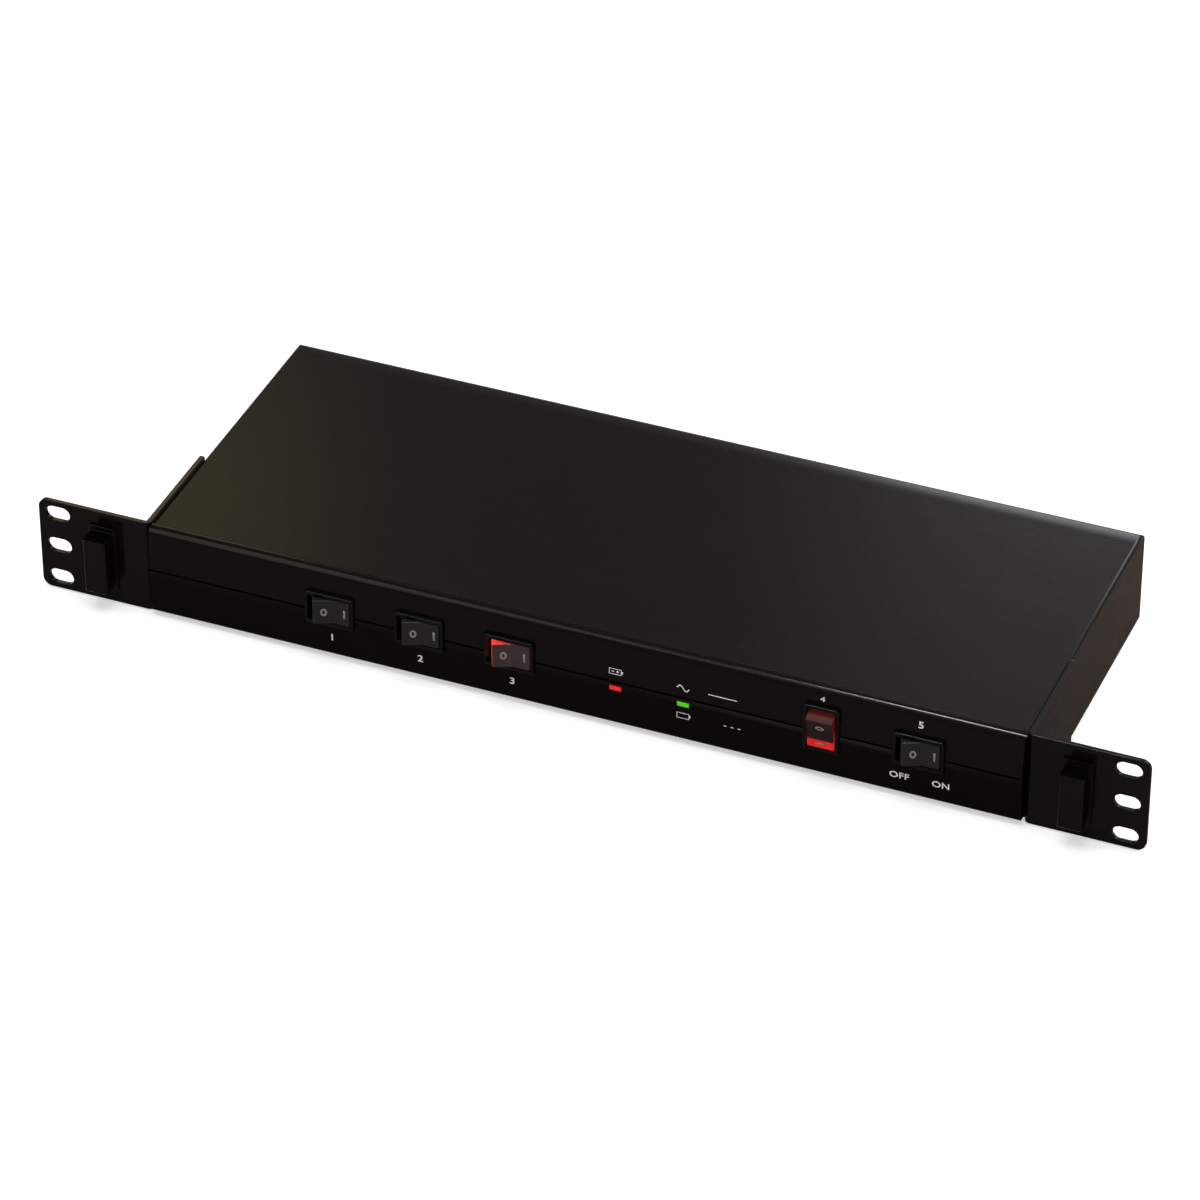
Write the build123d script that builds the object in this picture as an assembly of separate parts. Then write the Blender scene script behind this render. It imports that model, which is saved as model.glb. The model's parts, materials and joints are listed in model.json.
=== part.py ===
from build123d import *
import os
from math import cos, radians, sqrt

os.makedirs("parts", exist_ok=True)

# Millimetres. X runs to the right, Y to the back and Z up.
# The origin is the centre of the ears' slots, on the rear face of the ears, which meets the rack rails.

# Rack standard: one unit, the gap left to the next unit, and the slots in the ears
unit_height = 44.45
unit_gap = 0.79
slot_from_end = 8.75
slot_pitch = 15.875
slot_length = 11.0
slot_height = 6.8

# Ear brackets, which bring the body up to the 482.6 of a 19 inch panel
ear_reach = 50.8
bracket_sheet = 2.0
bracket_bend = 0.6
flange_reach = 52.0
ear_corner = 4.0
flange_corner = 1.0

# Body of folded sheet
body_width = 381.0
body_height = 42.8
body_drop = 0.17
chassis_depth = 147.0
sheet = 1.0
seat_gap = 0.1
tray_flange = 12.0
tray_bend = 1.6
cover_front = 0.9
cover_lift = 0.3
cover_fold = 1.8
cover_rear_roll = 3.2
cover_lip = 9.0
relief_width = 1.5

# Front bezel
bezel_end_gap = 0.3
bezel_rear_gap = 0.3
bezel_bottom_gap = 2.0
bezel_wall = 2.0
bezel_roll = 3.4
bezel_top_face = 3.7
bezel_mid_face = 4.7
bezel_low_face = 4.5
bezel_foot_radius = 1.2
bezel_end_radius = 1.2
groove_top = 1.3
groove_height = 0.9
groove_depth = 0.8
lip_height = 1.3
lip_rise = 0.25
boss_radius = 3.0
boss_inset = 6.0

# Pull handles on the ears
handle_from_body = 21.5
handle_width = 10.0
handle_height = 26.0
handle_depth = 9.0
handle_bar = 3.0
handle_arm = 4.0
handle_round = 0.7
handle_foot = 1.2
handle_foot_width = 12.4
handle_foot_height = 31.0

# Controls along the bezel, each measured from its right-hand neighbour
main_switch_inset = 43.5
test_to_main = 41.0
status_to_test = 59.3
fault_to_status = 29.3
third_to_fault = 46.0
switch_step = 39.8

# Rocker switches
row_switch_count = 3
switch_rise = 1.75
frame_length = 21.6
frame_width = 15.2
frame_thick = 2.2
frame_corner = 1.2
frame_round = 0.5
seat_depth = 3.9
opening_length = 19.0
opening_width = 11.9
housing_length = 20.4
housing_width = 14.0
housing_depth = 13.0
housing_gap = 0.1
wall_clearance = 1.2
latch_rise = 0.6
latch_width = 6.0
latch_length = 4.0
rocker_tilt = 12.5
rocker_side_gap = 0.3
fold_rise = 6.0
end_rise = 7.5
end_reach = 7.6
skirt_rise = 2.0
skirt_reach = 8.85
keel_drop = 2.5
keel_reach = 3.0
rocker_floor_gap = 1.1
pivot_radius = 1.0
pivot_gap = 0.05
pivot_length = 0.8
rocker_round = 0.3
blade_width = 4.8
blade_thick = 0.8
blade_length = 7.5
blade_step = 6.0

# Signal lamps
lamp_drop = 3.2
lamp_width = 5.0
lamp_height = 2.0
lamp_proud = 0.3
lamp_round = 0.2
lamp_gap = 0.1
lamp_wall_gap = 0.6
lamp_board_gap = 2.0
lamp_board_margin = 9.0
lamp_board_height = 16.0
board_thick = 1.6
spacer_radius = 2.5

# Rear panel
rear_flange = 8.0
socket_z = -4.0
inlet_from_side = 24.0
breaker_step = 25.0
outlet_first_step = 29.0
outlet_step = 33.0
outlet_count = 3
socket_flange_width = 31.0
socket_flange_height = 25.0
socket_flange_thick = 2.5
socket_flange_corner = 3.0
socket_width = 27.0
socket_height = 20.0
socket_depth = 22.0
socket_gap = 0.1
cavity_width = 24.2
cavity_height = 16.6
cavity_corner = 4.2
cavity_depth = 16.5
plug_block_gap = 2.1
pin_thick = 2.0
pin_height = 4.0
pin_spread = 7.0
pin_offset = 2.0
pin_setback = 1.2
pin_slot_gap = 0.3
pin_chamfer = 0.4
vent_width = 3.0
vent_height = 12.0
vent_step = 8.0
vent_rows = 2
vent_row_step = 15.0
vent_side_margin = 20.0
vent_end_margin = 46.0

# Resettable breaker
breaker_bush_radius = 5.5
breaker_bush_length = 6.0
breaker_nut_across = 14.0
breaker_nut_thick = 2.5
breaker_body_width = 14.0
breaker_body_height = 20.0
breaker_body_depth = 24.0
breaker_button_radius = 3.3
breaker_button_gap = 0.08
breaker_button_proud = 1.5
breaker_button_length = 11.0
breaker_button_edge = 0.5

# Batteries, which take the room that the tray leaves beside the main board
battery_height = 23.5
battery_corner = 1.5
battery_from_side = 5.0
battery_board_gap = 14.8
battery_from_front = 19.5
battery_from_rear = 4.3
battery_between = 1.2
battery_pad = 1.2
pad_margin = 8.0
tab_width = 4.75
tab_thick = 0.8
tab_length = 5.0
tab_spread = 16.0
stop_width = 14.0
stop_height = 9.0
front_stop_inset = 22.0
foam_margin = 16.0

# Main board
board_from_side = 9.0
board_length = 168.0
board_width = 76.0
board_from_rear = 35.0
board_corner = 2.0
standoff_across = 5.5
standoff_height = 6.0
standoff_inset = 5.0
insulation_thick = 0.4
insulation_hole_gap = 1.0

# What stands on the main board, measured from its front edge and from its nearer end
core_length = 50.0
core_stack = 22.0
core_height = 30.0
core_window = 8.0
core_window_height = 16.0
core_from_right = 30.0
core_from_front = 26.0
winding_bulge = 8.0
winding_gap = 0.2
winding_round = 3.6
sink_height = 27.0
sink_plate = 3.0
sink_from_left = 23.0
sink_from_front = 21.0
sink_core_gap = 12.0
fin_count = 11
fin_thick = 1.6
fin_reach = 13.0
transistor_count = 4
transistor_width = 10.0
transistor_thick = 4.5
transistor_lift = 3.5
transistor_tab = 1.3
transistor_tab_height = 15.5
transistor_case_height = 9.2
leg_step = 2.5
leg_width = 0.8
leg_thick = 0.6
relay_count = 3
relay_length = 19.0
relay_width = 15.5
relay_height = 15.5
relay_corner = 0.8
relay_step = 24.0
relay_from_right = 48.0
relay_from_front = 62.0
capacitor_radius = 8.0
capacitor_height = 25.0
capacitor_edge = 1.0
capacitor_count = 2
capacitor_step = 19.0
capacitor_from_left = 30.0
capacitor_from_front = 45.0
fuse_length = 20.0
fuse_radius = 2.6
fuse_gap = 0.02
fuse_from_right = 8.0
fuse_from_front = 64.0
fuse_clip_width = 5.0
fuse_clip_wall = 0.5
fuse_clip_mouth = 3.9
terminal_count = 5
terminal_step = 7.5
terminal_depth = 9.0
terminal_height = 12.0
terminal_slope = 3.0
terminal_from_left = 30.0
terminal_from_front = 7.0
wire_hole_width = 4.5
wire_hole_height = 4.0
wire_hole_depth = 4.0
wire_hole_z = 3.5
screw_hole_radius = 1.8
screw_hole_depth = 3.0
screw_hole_set = 1.0
buzzer_radius = 6.0
buzzer_height = 9.5
buzzer_hole_radius = 1.2
buzzer_hole_depth = 2.0
buzzer_from_right = 28.0
buzzer_from_front = 64.0
choke_radius = 9.0
choke_bore_radius = 3.2
choke_height = 7.0
choke_edge = 1.2
choke_from_right = 60.0
choke_from_front = 44.0

# How near an edge's middle lies to a place that picks it out
nearness = 0.01

# Levels and faces that the pieces share
ear_height = unit_height - unit_gap
rack_width = body_width + 2 * ear_reach
slot_x = rack_width / 2 - slot_from_end
body_bottom = -ear_height / 2 - body_drop
body_top = body_bottom + body_height
half_body = body_width / 2
half_tray = half_body - sheet - seat_gap
wall_top = body_top - sheet - seat_gap
panel_top = body_top - cover_rear_roll
half_foot = half_tray - tray_bend - seat_gap
floor_level = body_bottom + sheet
rear_face = chassis_depth
cover_rear = rear_face + sheet
half_bezel = half_body - bezel_end_gap
bezel_bottom = body_bottom + bezel_bottom_gap
bezel_rear = cover_front - bezel_rear_gap
bezel_cut = 4 * bezel_mid_face
groove_bottom = groove_top - groove_height
groove_middle = (groove_top + groove_bottom) / 2
main_switch_x = half_body - main_switch_inset
test_switch_x = main_switch_x - test_to_main
status_lamp_x = test_switch_x - status_to_test
fault_lamp_x = status_lamp_x - fault_to_status
third_switch_x = fault_lamp_x - third_to_fault
first_switch_x = third_switch_x - (row_switch_count - 1) * switch_step
switch_z = groove_middle + switch_rise
frame_front = -seat_depth - frame_thick
pivot_y = frame_front + fold_rise * cos(radians(rocker_tilt))
rocker_width = opening_width - 2 * rocker_side_gap
housing_floor = pivot_y + keel_drop + rocker_floor_gap
housing_rear = -seat_depth + housing_depth
lamp_z = groove_middle - lamp_drop
lamp_front = -bezel_low_face - lamp_proud
lamp_board_front = sheet + lamp_board_gap
lamp_centre = (fault_lamp_x + status_lamp_x) / 2
inlet_x = half_body - inlet_from_side
breaker_x = inlet_x - breaker_step
outlet_first = breaker_x - outlet_first_step
board_right = half_tray - board_from_side
board_left = board_right - board_length
board_rear = rear_face - board_from_rear
board_front = board_rear - board_width
board_bottom = floor_level + standoff_height
board_top = board_bottom + board_thick
battery_left = -half_tray + battery_from_side
battery_right = board_left - battery_board_gap
battery_width = (rear_face - battery_from_rear - battery_from_front - battery_between) / 2
battery_bottom = floor_level + battery_pad
battery_top = battery_bottom + battery_height
sink_length = board_length - core_from_right - core_length / 2 - sink_core_gap - sink_from_left
sink_x = sink_from_left + sink_length / 2
core_x = board_length - core_from_right
core_leg = (core_length - 2 * core_window) / 2
first_relay_x = board_length - relay_from_right - (relay_count - 1) * relay_step

# Each switch: its name, its place along the bezel, and whether it stands upright
row = range(row_switch_count)
switches = [(f"switch_{i + 1}", first_switch_x + i * switch_step, False) for i in row]
switches.append((f"switch_{row_switch_count + 1}", test_switch_x, True))
switches.append((f"switch_{row_switch_count + 2}", main_switch_x, False))
lamps = [("fault_lamp", fault_lamp_x), ("status_lamp", status_lamp_x)]


def block(x0, x1, y0, y1, z0, z1):
    return Pos((x0 + x1) / 2, (y0 + y1) / 2, (z0 + z1) / 2) * Box(x1 - x0, y1 - y0, z1 - z0)


def rod(radius, length):
    # A round bar that rises along Z from the plane it stands on
    return Cylinder(radius, length, align=(Align.CENTER, Align.CENTER, Align.MIN))


def edges_at(solid, direction, **places):
    # The straight edges along one direction whose middle lies at the given places
    found = solid.edges().filter_by(direction)
    for name, value in places.items():
        near = lambda edge: abs(getattr(edge.center(), name) - value) < nearness
        found = found.filter_by(near)
    return found


def placed(shape, x, upright):
    # A switch lies along X, or is turned a quarter clockwise, seen from the front
    turn = 90 if upright else 0
    return Pos(x, 0, switch_z) * Rot(0, turn, 0) * shape


def save(shape, name):
    export_step(shape, f"parts/{name}.step")


def ear_bracket(side):
    # The ear and the side flange are one strip of sheet with a tight bend
    outline = Polyline(
        (half_body, -bracket_sheet),
        (rack_width / 2, -bracket_sheet),
        (rack_width / 2, 0),
        (half_body + bracket_sheet, 0),
        (half_body + bracket_sheet, flange_reach),
        (half_body, flange_reach),
        close=True,
    )
    section = make_face(outline)
    corners = section.vertices()
    outer = corners.sort_by_distance((half_body, -bracket_sheet, 0))[0]
    section = fillet(outer, bracket_bend + bracket_sheet)
    inner = section.vertices().sort_by_distance((half_body + bracket_sheet, 0, 0))[0]
    section = fillet(inner, bracket_bend)
    plate = Pos(0, 0, -ear_height / 2) * extrude(section, ear_height)
    plate = fillet(edges_at(plate, Axis.Y, X=rack_width / 2), ear_corner)
    plate = fillet(edges_at(plate, Axis.X, Y=flange_reach), flange_corner)
    for row in (-1, 0, 1):
        slot = extrude(Plane.XZ * SlotOverall(slot_length, slot_height), bracket_sheet, both=True)
        plate -= Pos(slot_x, 0, row * slot_pitch) * slot
    return plate if side > 0 else mirror(plate, Plane.YZ)


def pull_handle(side):
    # A small bow on a foot plate, with a gap for a fingertip or hook behind the grip bar
    x = side * (half_body + handle_from_body)
    ear_face = -bracket_sheet
    foot_face = ear_face - handle_foot
    front = ear_face - handle_depth
    half = handle_width / 2
    bow = block(x - half, x + half, front, foot_face, -handle_height / 2, handle_height / 2)
    bow = fillet(bow.faces().sort_by(Axis.Y)[0].edges(), handle_round)
    gap_half = handle_height / 2 - handle_arm
    bow -= block(x - handle_width, x + handle_width, front + handle_bar, foot_face, -gap_half, gap_half)
    foot_half = handle_foot_width / 2
    foot_top = handle_foot_height / 2
    foot = block(x - foot_half, x + foot_half, foot_face, ear_face, -foot_top, foot_top)
    foot = fillet(foot.edges().filter_by(Axis.Y), handle_round)
    return bow + foot


def cover_form(inset, front, bottom):
    # A block with its two upper side edges folded round and its upper rear edge rolled
    half = half_body - inset
    rear = cover_rear - inset
    top = body_top - inset
    form = block(-half, half, front, rear, bottom, top)
    folded = fillet(edges_at(form, Axis.Y, Z=top), cover_fold - inset)
    rolled = fillet(edges_at(form, Axis.X, Y=rear, Z=top), cover_rear_roll - inset)
    return folded & rolled


def top_cover():
    # Top and both sides are one sheet, and its rear edge rolls down into a lip
    bottom = body_bottom + cover_lift
    cover = cover_form(0, cover_front, bottom) - cover_form(sheet, cover_front - sheet, bottom - sheet)
    inside = half_body - sheet
    lip_bottom = body_top - cover_lip
    beyond = cover_rear + sheet
    cover -= block(-inside, inside, rear_face - sheet, beyond, bottom - sheet, lip_bottom)
    relief_top = body_top - cover_rear_roll
    for side in (-1, 1):
        edge = side * inside
        near = edge - side * relief_width
        left, right = sorted((edge, near))
        cover -= block(left, right, rear_face, beyond, lip_bottom - sheet, relief_top)
    return cover


def battery_rows():
    # Front and rear faces of the two batteries, one behind the other
    first = battery_from_front
    second = first + battery_width + battery_between
    return [(first, first + battery_width), (second, second + battery_width)]


def battery_stops():
    # Tabs bent up from the tray against the ends of each battery and its outer long faces
    stops = []
    top = floor_level + stop_height
    for front, rear in battery_rows():
        middle = (front + rear) / 2
        y0 = middle - stop_width / 2
        y1 = middle + stop_width / 2
        stops.append(block(battery_left - sheet, battery_left, y0, y1, body_bottom, top))
        stops.append(block(battery_right, battery_right + sheet, y0, y1, body_bottom, top))
    front = battery_rows()[0][0]
    for x in (battery_left + front_stop_inset, battery_right - front_stop_inset):
        stops.append(block(x - stop_width / 2, x + stop_width / 2, front - sheet, front, body_bottom, top))
    return stops


def chassis_tray():
    # A floor with low side flanges and a full front wall that carries switches and bezel
    outline = Polyline(
        (-half_tray, floor_level + tray_flange),
        (-half_tray, body_bottom),
        (half_tray, body_bottom),
        (half_tray, floor_level + tray_flange),
        (half_tray - sheet, floor_level + tray_flange),
        (half_tray - sheet, floor_level),
        (-half_tray + sheet, floor_level),
        (-half_tray + sheet, floor_level + tray_flange),
        close=True,
    )
    section = make_face(outline)
    for x, z, radius in (
        (half_tray, body_bottom, tray_bend),
        (-half_tray, body_bottom, tray_bend),
        (half_tray - sheet, floor_level, tray_bend - sheet),
        (-half_tray + sheet, floor_level, tray_bend - sheet),
    ):
        section = fillet(section.vertices().sort_by_distance((x, z, 0))[0], radius)
    trough = extrude(Plane.XZ * section, -rear_face)
    wall = block(-half_tray, half_tray, 0, sheet, body_bottom + tray_bend, wall_top)
    tray = trough + wall
    for name, x, upright in switches:
        length = housing_length + 2 * wall_clearance
        width = housing_width + 2 * wall_clearance
        tray -= placed(Pos(0, sheet / 2, 0) * Box(length, 2 * sheet, width), x, upright)
    for name, x in lamps:
        width = lamp_width + 2 * lamp_wall_gap
        height = lamp_height + 2 * lamp_wall_gap
        tray -= Pos(x, sheet / 2, lamp_z) * Box(width, 2 * sheet, height)
    for side in (-1, 1):
        x = lamp_centre + side * (lamp_board_length() / 2 - spacer_radius)
        tray += Pos(x, sheet, lamp_z) * Rot(-90, 0, 0) * rod(spacer_radius, lamp_board_gap)
    for stop in battery_stops():
        tray += stop
    return tray


def bezel_section(inset):
    # The bezel's outline seen from its end, drawn a given wall thickness inside the outer one
    top = body_top - inset
    bottom = bezel_bottom + inset
    roll = bezel_roll - inset
    top_face = -bezel_top_face + inset
    mid_face = -bezel_mid_face + inset
    low_face = -bezel_low_face + inset
    rear = 0
    shoulder = top - roll
    front = Line((mid_face, groove_top), (top_face, shoulder))
    arc = RadiusArc((top_face, shoulder), (top_face + roll, top), roll)
    back = Polyline(
        (top_face + roll, top),
        (rear, top),
        (rear, bottom),
        (low_face, bottom),
        (low_face, groove_top),
        (mid_face, groove_top),
    )
    return make_face(Curve() + [front, arc, back])


def front_bezel():
    # A glossy moulding with a rolled top edge, a groove along its middle and a lip below it
    outer = extrude(Plane.YZ * bezel_section(0), half_bezel, both=True)
    outer = fillet(edges_at(outer, Axis.X, Y=-bezel_low_face, Z=bezel_bottom), bezel_foot_radius)
    low_face = -bezel_low_face
    lip_bottom = groove_bottom - lip_height
    outer += block(-half_bezel, half_bezel, low_face - lip_rise, low_face, lip_bottom, groove_bottom)
    groove_floor = low_face + groove_depth
    outer -= block(-half_body, half_body, -bezel_cut, groove_floor, groove_bottom, groove_top)
    # The two upright front corners are rounded
    plan = RectangleRounded(2 * half_bezel, bezel_cut, bezel_end_radius)
    plan = Pos(0, bezel_cut / 2 - bezel_low_face - lip_rise, body_bottom) * plan
    outer &= extrude(plan, body_height)
    inner_half = half_bezel - bezel_wall
    inner = extrude(Plane.YZ * bezel_section(bezel_wall), inner_half, both=True)
    bezel = outer - inner
    tongue_bottom = wall_top + seat_gap
    bezel += block(-half_bezel, half_bezel, 0, bezel_rear, tongue_bottom, body_top)
    # Bosses reach from inside the front wall to the tray's wall
    boss_length = bezel_low_face - bezel_wall / 2
    boss = Pos(0, 0, -boss_length) * rod(boss_radius, boss_length)
    for x in (-inner_half + boss_inset, inner_half - boss_inset):
        for z in (bezel_bottom + bezel_wall + boss_inset, body_top - bezel_wall - boss_inset):
            bezel += Pos(x, 0, z) * Rot(-90, 0, 0) * boss
    play = 2 * housing_gap
    for name, x, upright in switches:
        seat = Box(frame_length + play, bezel_cut, frame_width + play)
        seat = Pos(0, -seat_depth - bezel_cut / 2, 0) * seat
        hole = Box(housing_length + play, bezel_cut, housing_width + play)
        bezel -= placed(seat, x, upright)
        bezel -= placed(hole, x, upright)
    for name, x in lamps:
        bezel -= Pos(x, 0, lamp_z) * Box(lamp_width + 2 * lamp_gap, bezel_cut, lamp_height + 2 * lamp_gap)
    return bezel


def switch_housing(x, upright):
    # A framed box that snaps into the bezel, open to the front for the rocker
    frame = extrude(Plane.XZ * RectangleRounded(frame_length, frame_width, frame_corner), frame_thick)
    frame = Pos(0, -seat_depth, 0) * frame
    frame = fillet(frame.faces().sort_by(Axis.Y)[0].edges(), frame_round)
    half_length = housing_length / 2
    half_width = housing_width / 2
    case = block(-half_length, half_length, -seat_depth, housing_rear, -half_width, half_width)
    housing = frame + case
    half_opening = opening_length / 2
    cavity_half = opening_width / 2
    mouth = frame_front - frame_thick
    housing -= block(-half_opening, half_opening, mouth, housing_floor, -cavity_half, cavity_half)
    housing -= Pos(0, pivot_y, 0) * Cylinder(pivot_radius + pivot_gap, 2 * housing_width)
    latch_front = -bezel_top_face + bezel_wall + housing_gap
    for side in (-1, 1):
        wedge = Polyline(
            (side * half_length, latch_front),
            (side * (half_length + latch_rise), latch_front),
            (side * half_length, latch_front + latch_length),
            close=True,
        )
        housing += extrude(make_face(wedge), latch_width / 2, both=True)
    return placed(housing, x, upright)


def switch_rocker(x, upright):
    # Two flat facets meet at a shallow fold, and the right or lower one is pressed in at rest
    outline = Polyline(
        (0, -fold_rise),
        (end_reach, -end_rise),
        (skirt_reach, -skirt_rise),
        (skirt_reach, 0),
        (keel_reach, keel_drop),
        (-keel_reach, keel_drop),
        (-skirt_reach, 0),
        (-skirt_reach, -skirt_rise),
        (-end_reach, -end_rise),
        close=True,
    )
    rocker = extrude(make_face(outline), rocker_width / 2, both=True)
    face_edges = rocker.edges().filter_by(lambda edge: edge.center().Y < -skirt_rise - nearness)
    crest = face_edges.filter_by(lambda edge: abs(edge.center().X) > nearness)
    rocker = fillet(crest, rocker_round)
    rocker += Cylinder(pivot_radius, rocker_width + 2 * pivot_length)
    return placed(Pos(0, pivot_y, 0) * Rot(0, 0, rocker_tilt) * rocker, x, upright)


def switch_blades():
    # Three flat terminals behind each switch
    blades = []
    for name, x, upright in switches:
        for place in (-1, 0, 1):
            middle = Pos(place * blade_step, housing_rear + blade_length / 2, 0)
            blades.append(placed(middle * Box(blade_thick, blade_length, blade_width), x, upright))
    return Compound(children=blades)


def signal_lamp(x):
    lens = block(
        x - lamp_width / 2,
        x + lamp_width / 2,
        lamp_front,
        lamp_board_front,
        lamp_z - lamp_height / 2,
        lamp_z + lamp_height / 2,
    )
    return fillet(lens.faces().sort_by(Axis.Y)[0].edges(), lamp_round)


def lamp_board_length():
    return status_lamp_x - fault_lamp_x + 2 * lamp_board_margin


def lamp_board():
    length = lamp_board_length()
    rear = lamp_board_front + board_thick
    low = lamp_z - lamp_board_height / 2
    left = lamp_centre - length / 2
    return block(left, left + length, lamp_board_front, rear, low, low + lamp_board_height)


def outlet_places():
    return [outlet_first - i * outlet_step for i in range(outlet_count)]


def vent_places():
    # As many slots as fit behind the batteries
    start = -half_tray + vent_side_margin
    room = battery_right - vent_end_margin - start
    return [start + i * vent_step for i in range(int(room / vent_step) + 1)]


def rear_panel():
    # A flat wall with a foot flange, cut for the sockets and slotted in front of the batteries
    shoulder = floor_level + tray_flange + seat_gap
    panel = block(-half_tray, half_tray, rear_face - sheet, rear_face, shoulder, panel_top)
    panel += block(-half_foot, half_foot, rear_face - sheet, rear_face, floor_level, shoulder)
    flange_front = rear_face - rear_flange
    panel += block(-half_foot, half_foot, flange_front, rear_face, floor_level, floor_level + sheet)
    for x in [inlet_x] + outlet_places():
        hole = Box(socket_width + 2 * socket_gap, 4 * sheet, socket_height + 2 * socket_gap)
        panel -= Pos(x, rear_face, socket_z) * hole
    bush = Rot(90, 0, 0) * Cylinder(breaker_bush_radius + socket_gap, 4 * sheet)
    panel -= Pos(breaker_x, rear_face, socket_z) * bush
    vent = extrude(Plane.XZ * Rot(0, 0, 90) * SlotOverall(vent_height, vent_width), 2 * sheet, both=True)
    middle = (floor_level + body_top - cover_lip) / 2
    for x in vent_places():
        for row in range(vent_rows):
            z = middle + (row - (vent_rows - 1) / 2) * vent_row_step
            panel -= Pos(x, rear_face, z) * vent
    return panel


def plug_outline(shrink):
    # The mains plug outline with its two upper corners cut off, drawn a given distance inside
    half = cavity_width / 2 - shrink
    top = cavity_height / 2 - shrink
    cut = cavity_corner - (2 - sqrt(2)) * shrink
    return make_face(
        Polyline(
            (-half, -top),
            (half, -top),
            (half, top - cut),
            (half - cut, top),
            (-half + cut, top),
            (-half, top - cut),
            close=True,
        )
    )


def socket_shell():
    # The flange outside the rear panel and the box behind it, shared by inlet and outlets
    plate = RectangleRounded(socket_flange_width, socket_flange_height, socket_flange_corner)
    flange = extrude(Plane.XZ * plate, -socket_flange_thick)
    box = Pos(0, -socket_depth / 2, 0) * Box(socket_width, socket_depth, socket_height)
    return flange + box


def power_inlet():
    cavity = extrude(Plane.XZ * plug_outline(0), -cavity_depth)
    shell = socket_shell() - Pos(0, socket_flange_thick - cavity_depth, 0) * cavity
    return Pos(inlet_x, rear_face, socket_z) * shell


def pin_places():
    # Two line pins below and the earth pin above, between them
    return [(-pin_spread, -pin_offset), (0, pin_offset), (pin_spread, -pin_offset)]


def inlet_pins():
    pins = []
    length = cavity_depth - pin_setback
    floor = rear_face + socket_flange_thick - cavity_depth
    for x, z in pin_places():
        pin = Pos(inlet_x + x, floor + length / 2, socket_z + z) * Box(pin_thick, length, pin_height)
        pins.append(chamfer(pin.faces().sort_by(Axis.Y)[-1].edges(), pin_chamfer))
    return Compound(children=pins)


def power_outlet(x):
    ring = extrude(Plane.XZ * plug_outline(0), -cavity_depth)
    ring -= extrude(Plane.XZ * plug_outline(plug_block_gap), -cavity_depth)
    shell = socket_shell() - Pos(0, socket_flange_thick - cavity_depth, 0) * ring
    for px, pz in pin_places():
        slot = Box(pin_thick + 2 * pin_slot_gap, cavity_depth, pin_height + 2 * pin_slot_gap)
        shell -= Pos(px, socket_flange_thick - cavity_depth / 2, pz) * slot
    return Pos(x, rear_face, socket_z) * shell


def breaker_body():
    # A boxed mechanism inside, its bush through the panel and a nut outside
    half_width = breaker_body_width / 2
    half_height = breaker_body_height / 2
    inside = rear_face - sheet
    body = block(-half_width, half_width, inside - breaker_body_depth, inside, -half_height, half_height)
    bush = rod(breaker_bush_radius, breaker_bush_length + sheet)
    body += Pos(0, inside, 0) * Rot(-90, 0, 0) * bush
    hexagon = RegularPolygon(breaker_nut_across / 2, 6, major_radius=False)
    nut = extrude(Plane.XZ * hexagon, -breaker_nut_thick)
    body += Pos(0, rear_face, 0) * nut
    bore_start = rear_face + breaker_bush_length + breaker_button_proud - breaker_button_length
    bore_radius = breaker_button_radius + breaker_button_gap
    bore = rod(bore_radius, breaker_button_length)
    body -= Pos(0, bore_start, 0) * Rot(-90, 0, 0) * bore
    return Pos(breaker_x, 0, socket_z) * body


def breaker_button():
    start = rear_face + breaker_bush_length + breaker_button_proud - breaker_button_length
    button = rod(breaker_button_radius, breaker_button_length)
    button = chamfer(button.faces().sort_by(Axis.Z)[-1].edges(), breaker_button_edge)
    return Pos(breaker_x, start, socket_z) * Rot(-90, 0, 0) * button


def battery(front, rear):
    case = block(battery_left, battery_right, front, rear, battery_bottom, battery_top)
    return fillet(case.edges().filter_by(Axis.X) + case.edges().filter_by(Axis.Z), battery_corner)


def battery_pads():
    pads = []
    for front, rear in battery_rows():
        x0 = battery_left + pad_margin
        x1 = battery_right - pad_margin
        pads.append(block(x0, x1, front + pad_margin, rear - pad_margin, floor_level, battery_bottom))
    return Compound(children=pads)


def battery_tabs():
    # Two flat terminals on the inner end of each battery
    tabs = []
    z = (battery_bottom + battery_top) / 2
    for front, rear in battery_rows():
        for side in (-1, 1):
            y = (front + rear) / 2 + side * tab_spread
            x = battery_right + tab_length / 2
            tabs.append(Pos(x, y, z) * Box(tab_length, tab_thick, tab_width))
    return Compound(children=tabs)


def battery_foam():
    # A block of foam holds the batteries down under the cover
    rows = battery_rows()
    x0 = battery_left + foam_margin
    x1 = battery_right - foam_margin
    return block(x0, x1, rows[0][0] + foam_margin, rows[1][1] - foam_margin, battery_top, body_top - sheet)


def standoff_places():
    xs = (board_left + standoff_inset, board_right - standoff_inset)
    ys = (board_front + standoff_inset, board_rear - standoff_inset)
    return [(x, y) for x in xs for y in ys]


def main_board():
    board = block(board_left, board_right, board_front, board_rear, board_bottom, board_top)
    return fillet(board.edges().filter_by(Axis.Z), board_corner)


def board_standoffs():
    posts = []
    for x, y in standoff_places():
        post = extrude(RegularPolygon(standoff_across / 2, 6, major_radius=False), standoff_height)
        posts.append(Pos(x, y, floor_level) * post)
    return Compound(children=posts)


def insulation_sheet():
    film_top = floor_level + insulation_thick
    film = block(board_left, board_right, board_front, board_rear, floor_level, film_top)
    hole = Cylinder(standoff_across / 2 + insulation_hole_gap, 4 * insulation_thick)
    for x, y in standoff_places():
        film -= Pos(x, y, floor_level) * hole
    return film


def on_board(x, y, shape):
    # Places a shape by its distance from the board's left and front edges
    return Pos(board_left + x, board_front + y, board_top) * shape


def rising(width, depth, height):
    return Box(width, depth, height, align=(Align.CENTER, Align.CENTER, Align.MIN))


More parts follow.
